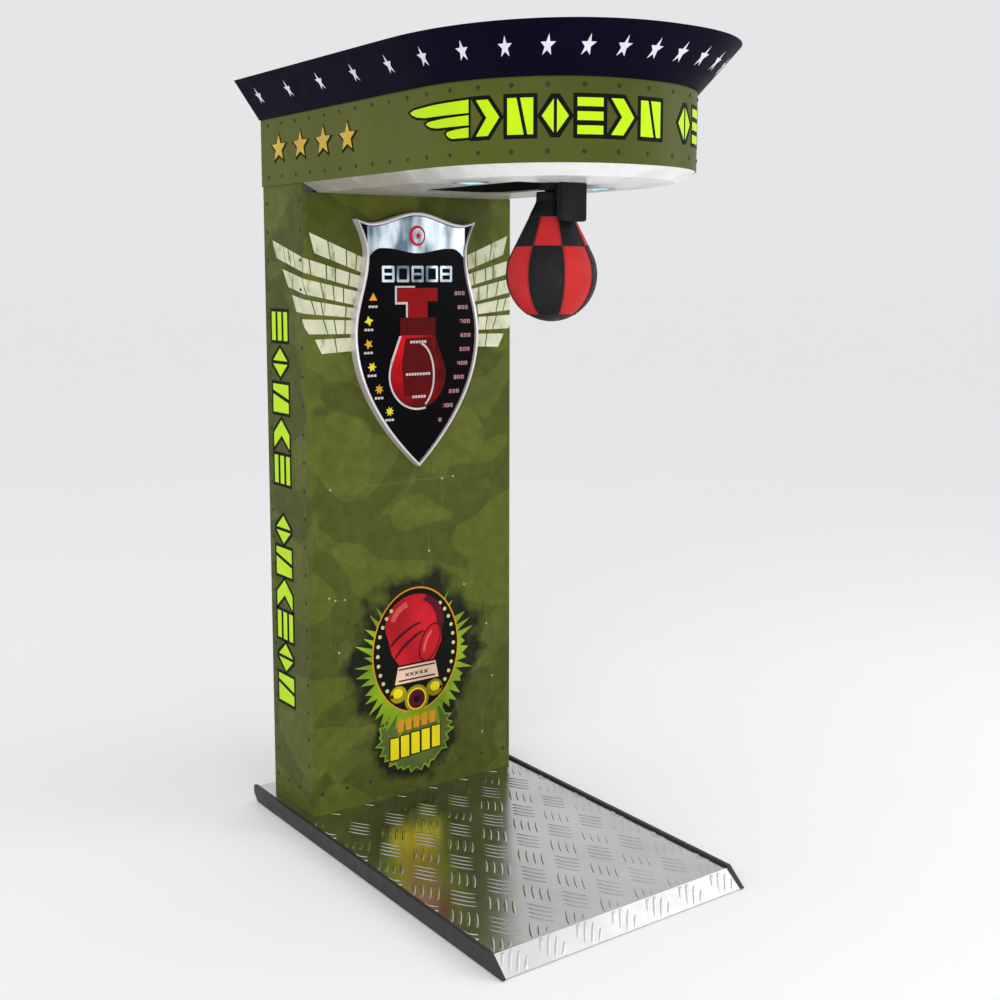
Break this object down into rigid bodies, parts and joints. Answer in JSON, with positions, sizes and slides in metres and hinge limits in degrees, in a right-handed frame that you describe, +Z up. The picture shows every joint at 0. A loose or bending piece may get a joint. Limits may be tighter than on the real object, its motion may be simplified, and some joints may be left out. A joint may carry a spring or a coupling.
{
  "type": "boxing punch machine",
  "caption": "Coin-operated punch machine: treaded platform, slim column with a shield-shaped score display, and a canopy with a pear bag that swings up to park.",
  "frame": {"origin": "on the floor under the middle of the machine's bounding box", "axes": "+Z up, +Y from the player towards the column, +X to the player's right"},
  "size_m": [0.896, 1.46, 2.2],
  "materials": {
    "olive_panel": "satin printed olive camouflage",
    "olive_canopy": "satin printed olive",
    "olive_rear": "satin powder coat",
    "navy_visor": "gloss navy with white stars",
    "black_steel": "semi-gloss black powder coat",
    "frame_steel": "grey primer",
    "tread_alu": "bright five-bar tread",
    "ramp_alu": "bright tread",
    "steel": "brushed",
    "lock_chrome": "polished",
    "silver_rim": "satin silver",
    "display_black": "gloss black print",
    "display_silver": "metallic silver-blue print",
    "red_lens": "translucent red",
    "score_print": "backlit red and white",
    "rank_print": "backlit amber",
    "ceiling_white": "gloss white",
    "liner_black": "textured",
    "foam_black": "closed-cell",
    "bezel_grey": "satin",
    "light_glass": "frosted cyan",
    "bag_leather": "red and black stitched panels",
    "rubber_black": "matte",
    "board_green": "solder mask",
    "blue_plastic": "moulded",
    "red_button": "moulded",
    "copper": "wound coil"
  },
  "bodies": {
    "cabinet": {"base_frame": "frame_steel", "tread_plate": "tread_alu", "front_ramp": "ramp_alu", "side_rail_left": "black_steel", "side_rail_right": "black_steel", "levelling_feet": "rubber_black", "wheel_brackets": "steel", "column_frame": "frame_steel", "front_panel": "olive_panel", "left_side_panel": "olive_panel", "right_side_panel": "olive_panel", "back_panel_lower": "olive_rear", "back_panel_upper": "olive_rear", "column_rivets": "olive_rear", "service_door_hinges": "steel", "coin_door_frame": "black_steel", "cash_box": "steel", "mains_inlet": "liner_black", "power_supply": "steel", "control_board": "board_green", "speaker": "liner_black", "shield_housing": "liner_black", "shield_frame": "silver_rim", "display_panel": "display_black", "display_top_plate": "display_silver", "bag_lamp_lens": "red_lens", "score_lamps": "score_print", "rank_lamps": "rank_print", "head_frame": "frame_steel", "head_fascia": "olive_canopy", "head_ceiling": "ceiling_white", "head_top_cover": "olive_rear", "visor": "navy_visor", "fascia_rivets": "olive_rear", "bag_recess": "liner_black", "park_buffer": "foam_black", "downlight_bezels": "bezel_grey", "downlight_lenses": "light_glass", "pivot_bracket": "black_steel", "pivot_bearings": "steel", "stop_block": "rubber_black", "stop_buffer": "foam_black", "speed_sensor": "liner_black", "solenoid": "copper"},
    "bag_swing": {"pivot_shaft": "steel", "swing_arm": "black_steel", "timing_plate": "steel", "punch_bag": "bag_leather"},
    "lock_pin": {"lock_pin": "steel"},
    "service_door": {"service_door": "olive_rear"},
    "service_lock": {"service_lock": "lock_chrome"},
    "coin_door": {"coin_door": "black_steel", "coin_validator": "blue_plastic", "coin_return_cup": "liner_black"},
    "coin_door_lock": {"coin_door_lock": "lock_chrome"},
    "coin_reject_button": {"coin_reject_button": "red_button"},
    "coin_return_flap": {"coin_return_flap": "steel"},
    "power_switch": {"power_switch": "red_button"},
    "transport_wheel_left": {"transport_wheel_left": "rubber_black"},
    "transport_wheel_right": {"transport_wheel_right": "rubber_black"}
  },
  "joints": [
    {"name": "bag_swing", "type": "hinge", "parent": "cabinet", "child": "bag_swing", "pos_m": [0, -0.252, 1.905], "axis": [1, 0, 0], "range_deg": [0, 88]},
    {"name": "lock_pin_slide", "type": "slide", "parent": "cabinet", "child": "lock_pin", "axis": [-1, 0, 0], "range_m": [0, 0.014], "stiffness_N_per_m": 200},
    {"name": "service_door_hinge", "type": "hinge", "parent": "cabinet", "child": "service_door", "pos_m": [-0.336, 0.665, 0.7], "axis": [0, 0, 1], "range_deg": [0, 110]},
    {"name": "service_lock_turn", "type": "hinge", "parent": "service_door", "child": "service_lock", "pos_m": [0.319, 0.663, 0.7], "axis": [0, -1, 0], "range_deg": [0, 90]},
    {"name": "coin_door_hinge", "type": "hinge", "parent": "cabinet", "child": "coin_door", "pos_m": [0.369, 0.602, 1.103], "axis": [0, 0, 1], "range_deg": [0, 110]},
    {"name": "coin_door_lock_turn", "type": "hinge", "parent": "coin_door", "child": "coin_door_lock", "pos_m": [0.362, 0.489, 1.103], "axis": [1, 0, 0], "range_deg": [-90, 0]},
    {"name": "coin_reject_press", "type": "slide", "parent": "coin_door", "child": "coin_reject_button", "axis": [-1, 0, 0], "range_m": [0, 0.005], "stiffness_N_per_m": 250, "springref_m": -0.001},
    {"name": "coin_return_flap_hinge", "type": "hinge", "parent": "coin_door", "child": "coin_return_flap", "pos_m": [0.358, 0.531, 1.066], "axis": [0, 1, 0], "range_deg": [0, 45]},
    {"name": "power_switch_rock", "type": "hinge", "parent": "cabinet", "child": "power_switch", "pos_m": [0.264, 0.659, 0.16], "axis": [-1, 0, 0], "range_deg": [0, 16]},
    {"name": "transport_wheel_left_spin", "type": "hinge", "parent": "cabinet", "child": "transport_wheel_left", "pos_m": [-0.3, 0.712, 0.02], "axis": [1, 0, 0], "continuous": true},
    {"name": "transport_wheel_right_spin", "type": "hinge", "parent": "cabinet", "child": "transport_wheel_right", "pos_m": [0.3, 0.712, 0.02], "axis": [1, 0, 0], "continuous": true}
  ]
}
